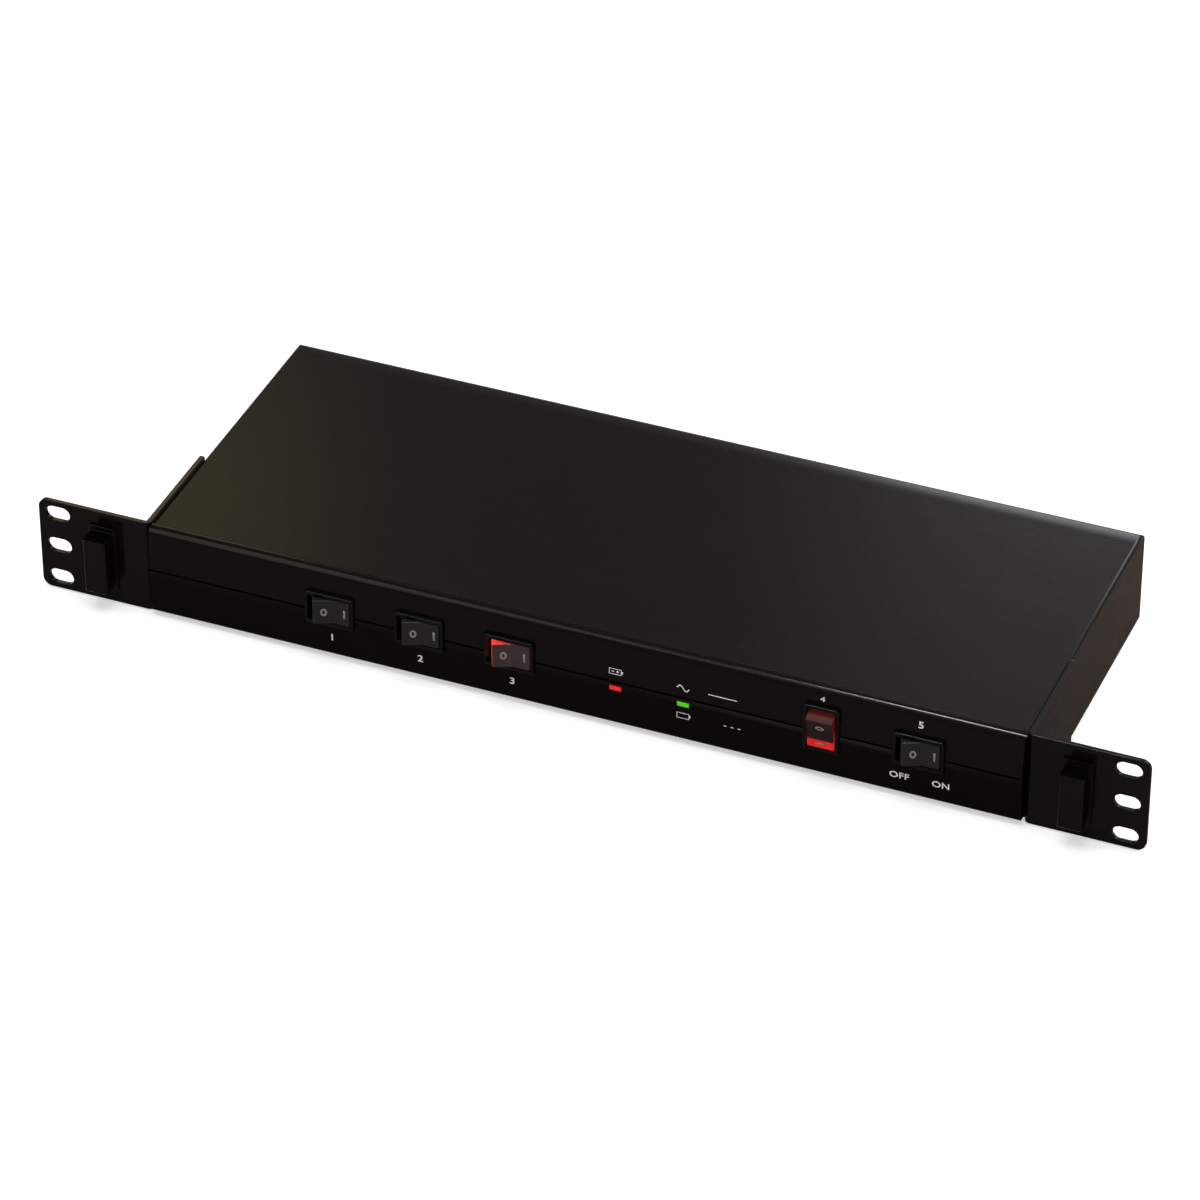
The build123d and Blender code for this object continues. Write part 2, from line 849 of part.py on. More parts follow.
def transformer_core():
    core = rising(core_length, core_stack, core_height)
    for side in (-1, 1):
        x = side * (core_leg / 2 + core_window / 2)
        core -= Pos(x, 0, core_height / 2) * Box(core_window, 2 * core_stack, core_window_height)
    return on_board(core_x, core_from_front, core)


def transformer_winding():
    # The coil fills the windows and bulges out in front of and behind the core
    length = core_leg + 2 * core_window - 2 * winding_gap
    depth = core_stack + 2 * winding_bulge
    height = core_window_height - 2 * winding_gap
    coil = Box(length, depth, height)
    coil = fillet(coil.edges().filter_by(Axis.Z), winding_round)
    coil -= Box(core_leg + 2 * winding_gap, core_stack + 2 * winding_gap, 2 * height)
    return on_board(core_x, core_from_front, Pos(0, 0, core_height / 2) * coil)


def heat_sink():
    plate = rising(sink_length, sink_plate, sink_height)
    step = (sink_length - fin_thick) / (fin_count - 1)
    for i in range(fin_count):
        x = -sink_length / 2 + fin_thick / 2 + i * step
        plate += Pos(x, (sink_plate + fin_reach) / 2, 0) * rising(fin_thick, fin_reach, sink_height)
    return on_board(sink_x, sink_from_front, plate)


def power_transistors():
    # Each has a metal tab against the heat sink, a thicker case on its lower half and three legs
    cases = []
    step = sink_length / transistor_count
    tab_y = sink_from_front - sink_plate / 2 - transistor_tab / 2
    case_y = -transistor_thick / 2
    for i in range(transistor_count):
        tab = rising(transistor_width, transistor_tab, transistor_tab_height)
        case = rising(transistor_width, transistor_thick - transistor_tab, transistor_case_height)
        whole = Pos(0, 0, transistor_lift) * (tab + Pos(0, case_y, 0) * case)
        for leg in (-1, 0, 1):
            whole += Pos(leg * leg_step, case_y, 0) * rising(leg_width, leg_thick, transistor_lift)
        x = sink_x - sink_length / 2 + (i + 0.5) * step
        cases.append(on_board(x, tab_y, whole))
    return Compound(children=cases)


def relays():
    cases = []
    for i in range(relay_count):
        case = rising(relay_length, relay_width, relay_height)
        case = fillet(case.edges().filter_by(Axis.Z), relay_corner)
        cases.append(on_board(first_relay_x + i * relay_step, relay_from_front, case))
    return Compound(children=cases)


def capacitors():
    cans = []
    for i in range(capacitor_count):
        can = rod(capacitor_radius, capacitor_height)
        can = chamfer(can.faces().sort_by(Axis.Z)[-1].edges(), capacitor_edge)
        cans.append(on_board(capacitor_from_left + i * capacitor_step, capacitor_from_front, can))
    return Compound(children=cans)


def fuse_clips():
    # A spring clip under each end of the fuse
    clips = []
    outer = fuse_radius + fuse_clip_wall
    bore = Pos(0, 0, outer) * Rot(90, 0, 0) * Cylinder(fuse_radius + fuse_gap, 2 * fuse_clip_width)
    mouth = Pos(0, 0, outer) * rising(fuse_clip_mouth, 2 * fuse_clip_width, 2 * outer)
    clip = rising(2 * outer, fuse_clip_width, 2 * outer) - bore - mouth
    for side in (-1, 1):
        y = fuse_from_front + side * (fuse_length / 2 - fuse_clip_width / 2)
        clips.append(on_board(board_length - fuse_from_right, y, clip))
    return Compound(children=clips)


def glass_fuse():
    centre = fuse_radius + fuse_clip_wall
    fuse = Pos(0, 0, centre) * Rot(90, 0, 0) * Cylinder(fuse_radius, fuse_length)
    return on_board(board_length - fuse_from_right, fuse_from_front, fuse)


def terminal_block():
    # A row of wire holes in the front and screw holes in the top
    length = terminal_count * terminal_step
    case = rising(length, terminal_depth, terminal_height)
    front = -terminal_depth / 2
    case = chamfer(edges_at(case, Axis.X, Y=front, Z=terminal_height), terminal_slope)
    wire_hole = Box(wire_hole_width, 2 * wire_hole_depth, wire_hole_height)
    screw_hole = Cylinder(screw_hole_radius, 2 * screw_hole_depth)
    for i in range(terminal_count):
        x = -length / 2 + (i + 0.5) * terminal_step
        case -= Pos(x, front, wire_hole_z) * wire_hole
        case -= Pos(x, screw_hole_set, terminal_height) * screw_hole
    return on_board(terminal_from_left, terminal_from_front, case)


def buzzer():
    can = rod(buzzer_radius, buzzer_height)
    can -= Pos(0, 0, buzzer_height) * Cylinder(buzzer_hole_radius, 2 * buzzer_hole_depth)
    return on_board(board_length - buzzer_from_right, buzzer_from_front, can)


def choke():
    # A wound ring that lies flat
    ring = rod(choke_radius, choke_height)
    ring = chamfer(ring.edges().filter_by(GeomType.CIRCLE), choke_edge)
    ring -= Cylinder(choke_bore_radius, 4 * choke_height)
    return on_board(board_length - choke_from_right, choke_from_front, ring)


save(chassis_tray(), "chassis_tray")
save(top_cover(), "top_cover")
save(front_bezel(), "front_bezel")
save(rear_panel(), "rear_panel")
for side, word in ((-1, "left"), (1, "right")):
    save(ear_bracket(side), f"{word}_bracket")
    save(pull_handle(side), f"{word}_handle")
for name, x, upright in switches:
    save(switch_housing(x, upright), f"{name}_housing")
    save(switch_rocker(x, upright), f"{name}_rocker")
save(switch_blades(), "switch_blades")
for name, x in lamps:
    save(signal_lamp(x), name)
save(lamp_board(), "lamp_board")
save(power_inlet(), "power_inlet")
save(inlet_pins(), "inlet_pins")
for i, x in enumerate(outlet_places()):
    save(power_outlet(x), f"power_outlet_{i + 1}")
save(breaker_body(), "breaker_body")
save(breaker_button(), "breaker_button")
for name, (front, rear) in zip(("front_battery", "rear_battery"), battery_rows()):
    save(battery(front, rear), name)
save(battery_pads(), "battery_pads")
save(battery_tabs(), "battery_tabs")
save(battery_foam(), "battery_foam")
save(main_board(), "main_board")
save(board_standoffs(), "board_standoffs")
save(insulation_sheet(), "insulation_sheet")
save(transformer_core(), "transformer_core")
save(transformer_winding(), "transformer_winding")
save(heat_sink(), "heat_sink")
save(power_transistors(), "power_transistors")
save(relays(), "relays")
save(capacitors(), "capacitors")
save(fuse_clips(), "fuse_clips")
save(glass_fuse(), "glass_fuse")
save(terminal_block(), "terminal_block")
save(buzzer(), "buzzer")
save(choke(), "choke")
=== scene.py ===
import json
import math
import random

import bmesh
import bpy
from mathutils import Matrix, Vector

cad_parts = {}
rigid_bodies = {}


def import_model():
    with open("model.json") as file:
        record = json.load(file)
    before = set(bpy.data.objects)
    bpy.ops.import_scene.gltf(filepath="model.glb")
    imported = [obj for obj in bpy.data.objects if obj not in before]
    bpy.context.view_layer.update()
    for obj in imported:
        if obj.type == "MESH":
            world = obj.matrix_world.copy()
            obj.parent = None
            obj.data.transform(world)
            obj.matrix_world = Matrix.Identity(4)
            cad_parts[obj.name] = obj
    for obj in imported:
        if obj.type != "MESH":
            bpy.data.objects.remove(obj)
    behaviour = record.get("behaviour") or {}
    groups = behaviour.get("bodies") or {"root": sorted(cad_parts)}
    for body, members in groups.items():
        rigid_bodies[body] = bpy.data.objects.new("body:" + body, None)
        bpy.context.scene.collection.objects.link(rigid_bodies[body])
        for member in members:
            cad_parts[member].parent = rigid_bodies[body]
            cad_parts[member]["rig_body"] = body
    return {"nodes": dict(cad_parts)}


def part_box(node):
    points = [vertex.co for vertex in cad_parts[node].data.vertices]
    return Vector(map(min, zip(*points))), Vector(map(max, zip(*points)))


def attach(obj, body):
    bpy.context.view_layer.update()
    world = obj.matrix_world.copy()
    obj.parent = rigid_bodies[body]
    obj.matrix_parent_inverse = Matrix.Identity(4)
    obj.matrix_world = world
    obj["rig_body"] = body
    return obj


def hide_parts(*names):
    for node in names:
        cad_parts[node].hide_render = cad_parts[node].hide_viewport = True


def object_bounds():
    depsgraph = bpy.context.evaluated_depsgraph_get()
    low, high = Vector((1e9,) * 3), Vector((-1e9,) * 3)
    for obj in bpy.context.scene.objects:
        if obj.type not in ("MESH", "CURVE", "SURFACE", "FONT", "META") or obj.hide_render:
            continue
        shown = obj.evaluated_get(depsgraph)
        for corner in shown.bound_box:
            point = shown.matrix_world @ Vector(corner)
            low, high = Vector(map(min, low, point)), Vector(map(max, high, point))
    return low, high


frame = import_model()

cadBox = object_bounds()
nodes = frame["nodes"]
print("frame loaded:", len(nodes), "nodes")


# Materials: one shader each, with its grain, mottle and wear in the piece's own coordinates

def addNode(tree, kind, settings=None, links=None):
    node = tree.nodes.new(kind)
    for key, value in (settings or {}).items():
        if hasattr(node, key):
            setattr(node, key, value)
        else:
            node.inputs[key].default_value = value
    for socket, source in (links or {}).items():
        tree.links.new(source, node.inputs[socket])
    return node


def noise(tree, place, size, detail=3.0, roughness=0.55):
    found = addNode(
        tree, "ShaderNodeTexNoise",
        {"Scale": 1 / size, "Detail": detail, "Roughness": roughness},
        {"Vector": place},
    )
    return found.outputs["Fac"]


def ramp(tree, value, low, high, bottom=0.0, top=1.0):
    found = addNode(
        tree, "ShaderNodeMapRange",
        {"From Min": low, "From Max": high, "To Min": bottom, "To Max": top},
        {"Value": value},
    )
    return found.outputs["Result"]


def mix(tree, share, first, second):
    # first and second are colours or sockets
    node = tree.nodes.new("ShaderNodeMix")
    node.data_type = "RGBA"
    tree.links.new(share, node.inputs[0])
    for socket, value in ((node.inputs[6], first), (node.inputs[7], second)):
        if isinstance(value, bpy.types.NodeSocket):
            tree.links.new(value, socket)
        else:
            socket.default_value = (*value, 1)
    return node.outputs[2]


def combine(tree, first, second, operation="MULTIPLY"):
    node = addNode(tree, "ShaderNodeMath", {"operation": operation}, {0: first})
    if isinstance(second, bpy.types.NodeSocket):
        tree.links.new(second, node.inputs[1])
    else:
        node.inputs[1].default_value = second
    return node.outputs[0]


def tinted(colour, share):
    return tuple(min(1.0, part * (1 + share)) for part in colour)


def edgeMask(tree, radius):
    # 1 along outer and inner edges, 0 on flat faces
    rounded = addNode(tree, "ShaderNodeBevel", {"samples": 4, "Radius": radius})
    plain = addNode(tree, "ShaderNodeNewGeometry")
    dot = addNode(
        tree, "ShaderNodeVectorMath", {"operation": "DOT_PRODUCT"},
        {0: rounded.outputs["Normal"], 1: plain.outputs["Normal"]},
    )
    return ramp(tree, dot.outputs["Value"], 0.995, 0.86)


# What a finish has unless it says otherwise, sizes and depths in metres
plainLook = {
    "mottle": 0.18, "mottleSize": 0.05, "speckSize": 0.0006, "speckShare": 0.35,
    "dust": 0.05, "dustSize": 0.02, "dustColour": (0.25, 0.24, 0.22), "dustDull": 0.08,
    "worn": 0.0, "wornWidth": 0.0004, "wornColour": (0.2, 0.19, 0.18), "scratchSize": 0.0035,
    "rough": 0.4, "roughSwing": 0.06, "smoothest": 0.02, "smearSize": 0.008,
    "waveStrength": 0.25, "waveDepth": 4e-6, "waveSize": 0.0016,
    "grainStrength": 0.5, "grainDepth": 8e-6, "grainSize": 0.0003,
    "metal": 0.0, "specular": 0.5, "sheenTint": (1, 1, 1), "ior": 1.5,
    "coat": 0.0, "coatRough": 0.1, "clear": 0.0,
    # Painted shade: a darker colour towards the low end of an axis; painted highlight: the paler colour of
    # the lip under the groove
    "paintedShadeAxis": "Z", "paintedShadeColour": None, "lipHighlightColour": None, "rearRoll": None, "glow": None,
}


def paleLip(tree, axes, look):
    # Painted highlight: a paler band on the lip under the groove, towards the right, where light falls on the
    # ledge
    lip = ramp(tree, axes.outputs["Z"], *look["lipRise"])
    for axis, reach in (("Z", look["lipTop"]), ("X", look["lipStart"]), ("X", look["lipEnd"])):
        lip = combine(tree, lip, ramp(tree, axes.outputs[axis], *reach))
    return lip


def softBend(tree, axes, look, normal):
    # The sheet bends softly down before its rear edge
    start, end, drop = look["rearRoll"]
    bend = ramp(tree, axes.outputs["Y"], start, end)
    rolled = addNode(
        tree, "ShaderNodeBump", {"invert": True, "Strength": 1.0, "Distance": drop},
        {"Height": combine(tree, bend, bend), "Normal": normal},
    )
    return rolled.outputs["Normal"]


def skinColour(tree, place, axes, dust, look):
    # Mottle: broad, soft changes of colour, with a fine speckle over it
    colour, share = look["colour"], look["mottle"]
    broad = noise(tree, place, look["mottleSize"], 4.0)
    speck = noise(tree, place, look["speckSize"], 2.0)
    broad = combine(tree, broad, 1 - look["speckShare"])
    blended = combine(tree, broad, combine(tree, speck, look["speckShare"]), "ADD")
    base = mix(tree, ramp(tree, blended, 0.3, 0.7), tinted(colour, -share), tinted(colour, share))
    # Painted shade: darker towards the low end of the axis, on the bezel's lower face and at the front of the
    # side walls
    if look["paintedShadeColour"]:
        height = ramp(tree, axes.outputs[look["paintedShadeAxis"]], *look["paintedShadeBand"])
        base = mix(tree, height, look["paintedShadeColour"], base)
    # Painted highlight on the lip under the groove
    if look["lipHighlightColour"]:
        base = mix(tree, paleLip(tree, axes, look), base, look["lipHighlightColour"])

    # Dust and handling marks lift the colour in patches, and edges wear
    base = mix(tree, combine(tree, dust, look["dust"]), base, look["dustColour"])
    if look["worn"]:
        scratch = ramp(tree, noise(tree, place, look["scratchSize"], 5.0, 0.7), 0.42, 0.62)
        rim = combine(tree, edgeMask(tree, look["wornWidth"]), scratch)
        base = mix(tree, combine(tree, rim, look["worn"]), base, look["wornColour"])
    return base


def skinRoughness(tree, place, dust, look):
    # Roughness swings with the dust and with a finer noise
    rough, swing = look["rough"], look["roughSwing"]
    smear = noise(tree, place, look["smearSize"], 5.0, 0.65)
    uneven = ramp(tree, smear, 0.3, 0.7, max(look["smoothest"], rough - swing), rough + swing)
    return combine(tree, uneven, combine(tree, dust, look["dustDull"]), "ADD")


def skinNormal(tree, place, axes, look):
    # Grain is the fine skin of the finish, wave its slow unevenness
    wave = addNode(
        tree, "ShaderNodeBump", {"Strength": look["waveStrength"], "Distance": look["waveDepth"]},
        {"Height": noise(tree, place, look["waveSize"], 2.0)},
    )
    grain = addNode(
        tree, "ShaderNodeBump", {"Strength": look["grainStrength"], "Distance": look["grainDepth"]},
        {"Height": noise(tree, place, look["grainSize"], 2.0), "Normal": wave.outputs["Normal"]},
    )
    if look["rearRoll"]:
        return softBend(tree, axes, look, grain.outputs["Normal"])
    return grain.outputs["Normal"]


def finish(name, ownLook):
    look = {**plainLook, **ownLook}
    material = bpy.data.materials.new(name)
    material.use_nodes = True
    tree = material.node_tree
    tree.nodes.clear()
    output = tree.nodes.new("ShaderNodeOutputMaterial")
    shader = tree.nodes.new("ShaderNodeBsdfPrincipled")
    tree.links.new(shader.outputs[0], output.inputs["Surface"])
    place = addNode(tree, "ShaderNodeTexCoord").outputs["Object"]
    axes = addNode(tree, "ShaderNodeSeparateXYZ", links={"Vector": place})
    dust = ramp(tree, noise(tree, place, look["dustSize"], 6.0, 0.7), 0.55, 0.8)

    tree.links.new(skinColour(tree, place, axes, dust, look), shader.inputs["Base Color"])
    tree.links.new(skinRoughness(tree, place, dust, look), shader.inputs["Roughness"])
    tree.links.new(skinNormal(tree, place, axes, look), shader.inputs["Normal"])
    constants = {
        "Metallic": look["metal"], "Specular IOR Level": look["specular"], "IOR": look["ior"],
        "Specular Tint": (*look["sheenTint"], 1), "Coat Weight": look["coat"],
        "Coat Roughness": look["coatRough"], "Transmission Weight": look["clear"],
    }
    if look["glow"]:
        constants["Emission Color"] = (*look["glow"], 1)
        constants["Emission Strength"] = look["glowStrength"]
    for socket, value in constants.items():
        shader.inputs[socket].default_value = value
    return material, tree, shader, place


finishes = {
    "sheetCoat": {
        "colour": (0.0058, 0.0030, 0.0024), "mottle": 0.10, "mottleSize": 0.12, "rough": 0.27,
        "roughSwing": 0.010, "dustDull": 0.03, "specular": 0.025, "grainSize": 0.00035, "grainDepth": 3e-6,
        "waveSize": 0.0025, "waveDepth": 3e-6, "dust": 0.003, "worn": 0.12,
        "wornColour": (0.06, 0.054, 0.05), "rearRoll": (0.1385, 0.1475, 0.00095),
    },
    # Painted sheen: a matte copy of the sheet's coat for the side walls, its lighter tone standing in for
    # their reflection, with painted shade towards the front
    "wallPaintedSheen": {
        "colour": (0.0315, 0.0215, 0.0176), "mottle": 0.08, "mottleSize": 0.06, "rough": 0.48,
        "roughSwing": 0.04, "specular": 0.003, "grainSize": 0.00035, "grainDepth": 3e-6, "waveSize": 0.0025,
        "waveDepth": 3e-6, "dust": 0.02, "paintedShadeAxis": "Y", "paintedShadeColour": (0.0180, 0.0105, 0.0088),
        "paintedShadeBand": (-0.02, 0.12),
    },
    "trayCoat": {
        "colour": (0.0080, 0.0050, 0.0043), "mottle": 0.12, "mottleSize": 0.10, "rough": 0.36,
        "roughSwing": 0.04, "specular": 0.03, "grainSize": 0.00035, "grainDepth": 5e-6, "waveSize": 0.0025,
        "dust": 0.01,
    },
    "earCoat": {
        "colour": (0.0042, 0.0030, 0.0030), "mottle": 0.10, "mottleSize": 0.06, "rough": 0.13,
        "roughSwing": 0.03, "specular": 0.035, "sheenTint": (1.0, 0.80, 0.80), "grainSize": 0.0005,
        "grainDepth": 1e-6, "waveSize": 0.003, "waveDepth": 3e-6, "dust": 0.004, "worn": 0.3,
        "wornColour": (0.05, 0.047, 0.045), "wornWidth": 0.00035,
    },
    "bezelGloss": {
        "colour": (0.0056, 0.0034, 0.0038), "mottle": 0.10, "mottleSize": 0.09, "rough": 0.13,
        "roughSwing": 0.025, "specular": 0.027, "sheenTint": (1.0, 0.78, 0.78), "grainSize": 0.0004,
        "grainDepth": 6e-7, "waveSize": 0.012, "waveDepth": 8e-6, "dust": 0.003, "worn": 0.12,
        "wornColour": (0.04, 0.038, 0.038), "wornWidth": 0.0003,
        # Painted shade on the lower face below the groove, and a painted highlight on the lip
        "paintedShadeColour": (0.0010, 0.0002, 0.0001), "paintedShadeBand": (-0.0030, 0.0012),
        "lipHighlightColour": (0.018, 0.014, 0.0125), "lipRise": (-0.0022, -0.0006), "lipTop": (0.00045, 0.00040),
        "lipStart": (0.030, 0.085), "lipEnd": (0.172, 0.130),
    },
    # Painted shade: near-black for the groove's faces and the handles' tops
    "shadeBlack": {
        "colour": (0.0012, 0.0008, 0.0008), "mottle": 0.10, "mottleSize": 0.02, "rough": 0.5,
        "roughSwing": 0.04, "specular": 0.002, "grainSize": 0.0004, "grainDepth": 1e-6, "dust": 0.002,
    },
    "handleBlack": {
        "colour": (0.0052, 0.0036, 0.0036), "mottle": 0.12, "mottleSize": 0.02, "rough": 0.18,
        "roughSwing": 0.03, "specular": 0.03, "sheenTint": (1.0, 0.82, 0.82), "grainSize": 0.0003,
        "grainDepth": 1.5e-6, "dust": 0.004, "worn": 0.06, "wornColour": (0.04, 0.037, 0.035),
    },
    "frameBlack": {
        "colour": (0.0030, 0.0026, 0.0026), "mottle": 0.12, "mottleSize": 0.02, "rough": 0.26,
        "roughSwing": 0.04, "specular": 0.03, "grainSize": 0.00018, "grainDepth": 2e-6, "dust": 0.004,
        "worn": 0.2, "wornColour": (0.03, 0.03, 0.03), "wornWidth": 0.0003,
    },
    "rockerGrey": {
        "colour": (0.0122, 0.0098, 0.0094), "mottle": 0.10, "mottleSize": 0.01, "rough": 0.34,
        "roughSwing": 0.05, "specular": 0.08, "grainSize": 0.00015, "grainDepth": 3e-6, "dust": 0.006,
        "worn": 0.2, "wornColour": (0.05, 0.05, 0.048), "wornWidth": 0.0003,
    },
    "socketBlack": {
        "colour": (0.010, 0.010, 0.0105), "mottle": 0.12, "mottleSize": 0.02, "rough": 0.38,
        "roughSwing": 0.06, "specular": 0.4, "grainSize": 0.0003, "grainDepth": 6e-6, "worn": 0.3,
        "wornColour": (0.07, 0.07, 0.07),
    },
    "buttonBlack": {
        "colour": (0.016, 0.016, 0.016), "rough": 0.33, "grainSize": 0.0002, "grainDepth": 3e-6,
        "worn": 0.4, "wornColour": (0.10, 0.10, 0.10),
    },
    "tabBrass": {
        "colour": (0.62, 0.44, 0.17), "metal": 1.0, "rough": 0.26, "roughSwing": 0.08, "mottle": 0.08,
        "mottleSize": 0.004, "grainSize": 0.0002, "grainDepth": 3e-6, "dust": 0.04,
    },
    "screwSteel": {
        "colour": (0.035, 0.034, 0.033), "metal": 0.7, "rough": 0.32, "roughSwing": 0.08, "mottle": 0.15,
        "mottleSize": 0.002, "grainSize": 0.00012, "grainDepth": 2e-6, "worn": 0.6,
        "wornColour": (0.35, 0.34, 0.33), "wornWidth": 0.00015,
    },
    "nutSteel": {
        "colour": (0.48, 0.47, 0.45), "metal": 1.0, "rough": 0.28, "roughSwing": 0.08, "mottle": 0.08,
        "mottleSize": 0.003, "grainSize": 0.0002, "grainDepth": 2e-6,
    },
    "batteryCase": {
        "colour": (0.045, 0.046, 0.05), "rough": 0.42, "grainSize": 0.0006, "grainDepth": 1.5e-5,
        "dust": 0.08,
    },
    "foamGrey": {
        "colour": (0.10, 0.10, 0.10), "rough": 0.92, "roughSwing": 0.05, "specular": 0.2, "mottle": 0.35,
        "mottleSize": 0.0012, "grainSize": 0.0008, "grainDepth": 2.5e-4, "grainStrength": 0.9,
    },
    "padRubber": {
        "colour": (0.02, 0.02, 0.02), "rough": 0.75, "grainSize": 0.0004, "grainDepth": 2e-5,
        "specular": 0.3,
    },
    "boardGreen": {
        "colour": (0.012, 0.085, 0.032), "rough": 0.30, "mottle": 0.2, "mottleSize": 0.004,
        "grainSize": 0.0004, "grainDepth": 1e-5, "coat": 0.3,
    },
    "postMetal": {
        "colour": (0.60, 0.50, 0.28), "metal": 1.0, "rough": 0.3, "mottle": 0.08, "mottleSize": 0.003,
    },
    "filmClear": {
        "colour": (0.55, 0.55, 0.50), "rough": 0.25, "grainSize": 0.002, "grainDepth": 2e-5, "mottle": 0.06,
    },
    "coreSteel": {
        "colour": (0.20, 0.20, 0.20), "metal": 0.8, "rough": 0.45, "grainSize": 0.0005, "grainDepth": 3e-5,
        "mottle": 0.2, "mottleSize": 0.002,
    },
    "coilTape": {
        "colour": (0.48, 0.32, 0.04), "rough": 0.35, "grainSize": 0.001, "grainDepth": 3e-5, "mottle": 0.15,
        "mottleSize": 0.006, "coat": 0.3,
    },
    "sinkMetal": {
        "colour": (0.55, 0.56, 0.57), "metal": 1.0, "rough": 0.38, "grainSize": 0.0004, "grainDepth": 8e-6,
        "mottle": 0.08, "mottleSize": 0.01,
    },
    "chipBlack": {
        "colour": (0.015, 0.015, 0.016), "rough": 0.5, "grainSize": 0.0002, "grainDepth": 1e-5,
    },
    "relayBlue": {
        "colour": (0.03, 0.08, 0.26), "rough": 0.35, "grainSize": 0.0004, "grainDepth": 6e-6,
        "mottle": 0.08,
    },
    "canSleeve": {
        "colour": (0.012, 0.02, 0.07), "rough": 0.2, "grainSize": 0.0008, "grainDepth": 6e-6, "coat": 0.4,
    },
    "fuseGlass": {
        "colour": (0.85, 0.9, 0.88), "rough": 0.06, "roughSwing": 0.02, "clear": 0.85, "mottle": 0.02,
        "dust": 0.02, "grainDepth": 5e-7,
    },
    "clipSteel": {
        "colour": (0.55, 0.55, 0.55), "metal": 1.0, "rough": 0.25, "mottle": 0.05, "mottleSize": 0.003,
    },
    "blockGreen": {
        "colour": (0.03, 0.20, 0.07), "rough": 0.4, "grainSize": 0.0003, "grainDepth": 6e-6, "mottle": 0.08,
    },
    "chokeWire": {
        "colour": (0.36, 0.10, 0.03), "rough": 0.25, "grainSize": 0.0009, "grainDepth": 8e-5, "coat": 0.4,
        "grainStrength": 0.8,
    },
    "printWhite": {
        "colour": (0.83, 0.83, 0.81), "mottle": 0.03, "mottleSize": 0.004, "rough": 0.45, "specular": 0.35,
        "grainSize": 0.0002, "grainDepth": 1.5e-6, "dust": 0.03,
    },
    "markGrey": {
        "colour": (0.21, 0.205, 0.195), "mottle": 0.08, "mottleSize": 0.002, "rough": 0.45, "specular": 0.3,
        "grainSize": 0.00015, "grainDepth": 2e-6,
    },
    "markPink": {
        "colour": (0.26, 0.19, 0.185), "mottle": 0.08, "mottleSize": 0.002, "rough": 0.45, "specular": 0.3,
        "grainSize": 0.00015, "grainDepth": 2e-6,
    },
    "lampRed": {
        "colour": (0.60, 0.012, 0.012), "mottle": 0.10, "mottleSize": 0.002, "rough": 0.22,
        "specular": 0.12, "dust": 0.01, "grainSize": 0.0003, "grainDepth": 4e-6,
        "glow": (0.95, 0.02, 0.03), "glowStrength": 0.40,
    },
    "lampGreen": {
        "colour": (0.05, 0.40, 0.005), "mottle": 0.10, "mottleSize": 0.002, "rough": 0.22,
        "specular": 0.12, "dust": 0.01, "grainSize": 0.0003, "grainDepth": 4e-6,
        "glow": (0.14, 0.80, 0.0), "glowStrength": 0.36,
    },
}
surfaces = {name: finish(name, look)[0] for name, look in finishes.items()}
print("finishes made:", len(surfaces))


redRocker = {
    "colour": (0.050, 0.030, 0.030), "mottle": 0.10, "mottleSize": 0.006, "rough": 0.30, "specular": 0.08,
    "grainSize": 0.00015, "grainDepth": 2.5e-6, "dust": 0.01, "cloudSize": 0.0022, "endShare": 0.25,
}


rockerSide = (0.80, 0.35)  # how far a face turns from the front before its light shows


def litRocker(name, centre, light):
    # Light leaves the red moulding at its sides and, where asked, through the end of a facet
    look = {**redRocker, **light["skin"]}
    material, tree, shader, place = finish(name, look)
    normal = addNode(tree, "ShaderNodeTexCoord").outputs["Normal"]
    apart = addNode(tree, "ShaderNodeSeparateXYZ", links={"Vector": normal})
    side = ramp(tree, combine(tree, apart.outputs["Y"], -1.0), *rockerSide)
    offset = addNode(tree, "ShaderNodeVectorMath", {"operation": "SUBTRACT"}, {0: place})
    offset.inputs[1].default_value = centre
    along = addNode(tree, "ShaderNodeVectorMath", {"operation": "DOT_PRODUCT"}, {0: offset.outputs[0]})
    along.inputs[1].default_value = Vector(light["towards"]).normalized()
    reach = along.outputs["Value"]
    cloud = noise(tree, place, look["cloudSize"], 3.0, 0.6)
    bright = combine(tree, side, ramp(tree, reach, *light["sideReach"]))
    if "faceReach" in light:
        low, high, fade, end = light["faceReach"]
        fading = ramp(tree, reach, end, fade, look["endShare"], 1.0)
        face = combine(tree, ramp(tree, reach, low, high), fading)
        bright = combine(tree, bright, face, "MAXIMUM")
    bright = combine(tree, bright, ramp(tree, cloud, 0.35, 0.65, 0.78, 1.0))
    colour = mix(tree, bright, look["dim"], look["lit"])
    tree.links.new(colour, shader.inputs["Emission Color"])
    haze = combine(tree, side, light["haze"])
    level = combine(tree, combine(tree, bright, light["strength"]), haze, "ADD")
    tree.links.new(level, shader.inputs["Emission Strength"])
    return material


# Pieces: shared helpers for meshes that stand for CAD nodes or ride on them

def addPiece(name, mesh, material, body):
    piece = bpy.data.objects.new(name, mesh)
    bpy.context.scene.collection.objects.link(piece)
    mesh.materials.clear()
    mesh.materials.append(material)
    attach(piece, body)
    return piece


def meshFrom(name, form, smoothAngle=None):
    mesh = bpy.data.meshes.new(name)
    if smoothAngle is not None:
        for face in form.faces:
            face.smooth = True
        for edge in form.edges:
            edge.smooth = len(edge.link_faces) == 2 and edge.calc_face_angle(0) < smoothAngle
    form.to_mesh(mesh)
    form.free()
    return mesh


# How a copy of a CAD node is cleaned, smoothed and given its small edge radius
refining = {
    "mergeGap": 2e-6, "flatTurn": math.radians(0.6), "smoothTurn": math.radians(26),
    "rimTurn": math.radians(35), "rimSteps": 2,
}


